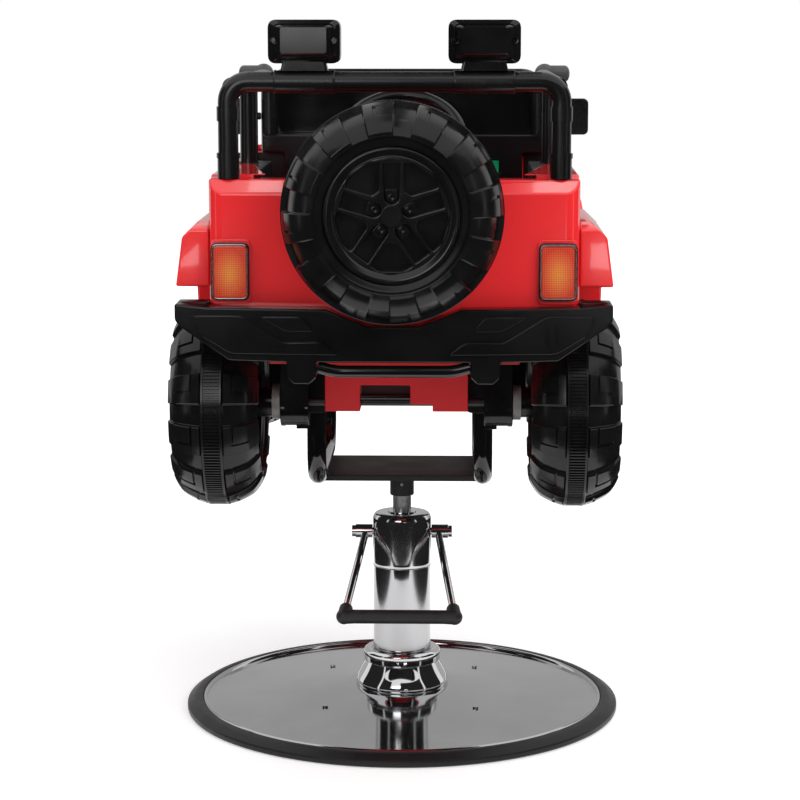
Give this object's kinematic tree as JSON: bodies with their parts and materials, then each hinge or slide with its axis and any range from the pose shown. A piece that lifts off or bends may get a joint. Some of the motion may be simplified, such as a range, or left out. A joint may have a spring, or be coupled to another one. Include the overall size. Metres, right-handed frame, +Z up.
{
  "type": "children's car barber chair",
  "caption": "Children's salon chair shaped as an open toy car with a roll cage and a spare wheel, on a round hydraulic pump base with a foot pedal.",
  "frame": {"origin": "on the floor, on the axis of the pump column", "axes": "+Z up, +Y towards the toy car's nose, +X to the right as seen from behind the car"},
  "size_m": [0.5999, 1.032, 0.9475],
  "materials": {
    "rubber": "matt moulded",
    "satin_steel": "satin, spun",
    "polished_tube": "polished",
    "chrome": "bright plated",
    "zinc": "bright zinc",
    "iron": "painted black",
    "brass": "turned",
    "black_paint": "semi-gloss",
    "red_plastic": "gloss moulded",
    "black_plastic": "gloss moulded",
    "black_satin": "satin moulded",
    "tyre_plastic": "moulded, blow-moulded hard plastic",
    "wheel_cap": "gloss moulded",
    "tail_lens": "ribbed clear lens",
    "clear_lens": "clear lens over a bright bowl",
    "silver_trim": "silver coated",
    "smoked_screen": "smoked, glossy",
    "green_plastic": "gloss moulded",
    "mirror_glass": "silvered"
  },
  "bodies": {
    "base": {"rubber_edge": "rubber", "base_dish": "satin_steel", "ballast_ring": "iron", "base_bolts": "zinc", "pump_flange": "iron", "bell_cover": "chrome", "ring_collar": "chrome", "pump_tube": "polished_tube", "pump_head": "chrome", "gland_bush": "brass", "inner_cylinder": "zinc"},
    "piston": {"ram": "chrome", "piston_head": "iron"},
    "car": {"swivel_plate": "black_paint", "support_loop_left": "black_paint", "support_loop_right": "black_paint", "frame_bolts": "zinc", "chassis": "red_plastic", "body_shell": "red_plastic", "bonnet": "red_plastic", "grille": "black_satin", "headlights": "clear_lens", "front_bumper": "black_satin", "rear_bumper": "black_satin", "tow_bar": "black_plastic", "tail_lights": "tail_lens", "rear_fenders": "red_plastic", "front_fenders": "red_plastic", "windscreen_frame": "black_satin", "windscreen": "smoked_screen", "rear_hoop": "black_satin", "cage_rails": "black_satin", "roof_lamps": "black_satin", "seat": "black_plastic", "dashboard": "black_satin", "spare_wheel": "tyre_plastic", "spare_hubcap": "wheel_cap", "spare_carrier": "black_plastic", "rear_axle": "zinc", "gearboxes": "black_satin", "front_axle": "black_paint", "mirrors": "black_satin"},
    "pedal": {"pedal_frame": "chrome", "pedal_grip": "rubber", "pedal_shafts": "chrome"},
    "plunger": {"pump_plunger": "zinc"},
    "rear_wheel_left": {"wheel_rear_left": "tyre_plastic"},
    "rear_wheel_right": {"wheel_rear_right": "tyre_plastic"},
    "front_wheel_left": {"wheel_front_left": "tyre_plastic"},
    "front_wheel_right": {"wheel_front_right": "tyre_plastic"},
    "left_knuckle": {"knuckle_left": "zinc"},
    "right_knuckle": {"knuckle_right": "zinc"},
    "track_rod": {"tie_rod": "zinc"},
    "steering": {"steering_column": "zinc", "steering_wheel": "black_satin"},
    "horn": {"horn_button": "black_plastic"},
    "rocker": {"rocker_button": "green_plastic"},
    "left_door": {"door_left": "red_plastic"},
    "right_door": {"door_right": "red_plastic"}
  },
  "joints": [
    {"name": "lift", "type": "slide", "parent": "base", "child": "piston", "axis": [0, 0, 1], "range_m": [0, 0.15]},
    {"name": "swivel", "type": "hinge", "parent": "piston", "child": "car", "pos_m": [0, 0, 0.318], "axis": [0, 0, 1], "continuous": true},
    {"name": "pedal_hinge", "type": "hinge", "parent": "base", "child": "pedal", "pos_m": [0, 0, 0.246], "axis": [1, 0, 0], "range_deg": [0, 28], "stiffness_Nm_per_rad": 4, "springref_deg": -20.05},
    {"name": "plunger_slide", "type": "slide", "parent": "base", "child": "plunger", "axis": [0, 0, -1], "range_m": [0, 0.009]},
    {"name": "rear_left_roll", "type": "hinge", "parent": "car", "child": "rear_wheel_left", "pos_m": [-0.22, -0.3, 0.476], "axis": [1, 0, 0], "continuous": true},
    {"name": "rear_right_roll", "type": "hinge", "parent": "car", "child": "rear_wheel_right", "pos_m": [0.22, -0.3, 0.476], "axis": [1, 0, 0], "continuous": true},
    {"name": "steer", "type": "hinge", "parent": "car", "child": "steering", "pos_m": [0, 0.27914, 0.51214], "axis": [0, -0.7071, 0.7071], "range_deg": [-35, 35]},
    {"name": "left_kingpin", "type": "hinge", "parent": "car", "child": "left_knuckle", "pos_m": [-0.138, 0.3, 0.476], "axis": [0, 0, 1], "range_deg": [-20.5, 20.5]},
    {"name": "right_kingpin", "type": "hinge", "parent": "car", "child": "right_knuckle", "pos_m": [0.138, 0.3, 0.476], "axis": [0, 0, 1], "range_deg": [-20.5, 20.5]},
    {"name": "track_slide", "type": "slide", "parent": "car", "child": "track_rod", "axis": [1, 0, 0], "range_m": [-0.0125, 0.0125]},
    {"name": "front_left_roll", "type": "hinge", "parent": "left_knuckle", "child": "front_wheel_left", "pos_m": [-0.22, 0.3, 0.476], "axis": [1, 0, 0], "continuous": true},
    {"name": "front_right_roll", "type": "hinge", "parent": "right_knuckle", "child": "front_wheel_right", "pos_m": [0.22, 0.3, 0.476], "axis": [1, 0, 0], "continuous": true},
    {"name": "horn_press", "type": "slide", "parent": "steering", "child": "horn", "axis": [0, 0.7071, -0.7071], "range_m": [0, 0.002], "stiffness_N_per_m": 400, "springref_m": -0.002},
    {"name": "rocker_tip", "type": "hinge", "parent": "car", "child": "rocker", "pos_m": [0.122, 0.071, 0.747], "axis": [1, 0, 0], "range_deg": [-8, 8]},
    {"name": "left_door_hinge", "type": "hinge", "parent": "car", "child": "left_door", "pos_m": [-0.223, 0.106, 0.69], "axis": [0, 0, -1], "range_deg": [0, 65]},
    {"name": "right_door_hinge", "type": "hinge", "parent": "car", "child": "right_door", "pos_m": [0.223, 0.106, 0.69], "axis": [0, 0, 1], "range_deg": [0, 65]}
  ],
  "couplings": [
    {"joint": "plunger_slide", "follows": "pedal_hinge", "m_per_rad": 0.0178},
    {"joint": "left_kingpin", "follows": "steer", "ratio": 0.5714},
    {"joint": "right_kingpin", "follows": "steer", "ratio": 0.5714},
    {"joint": "track_slide", "follows": "steer", "m_per_rad": 0.02}
  ]
}
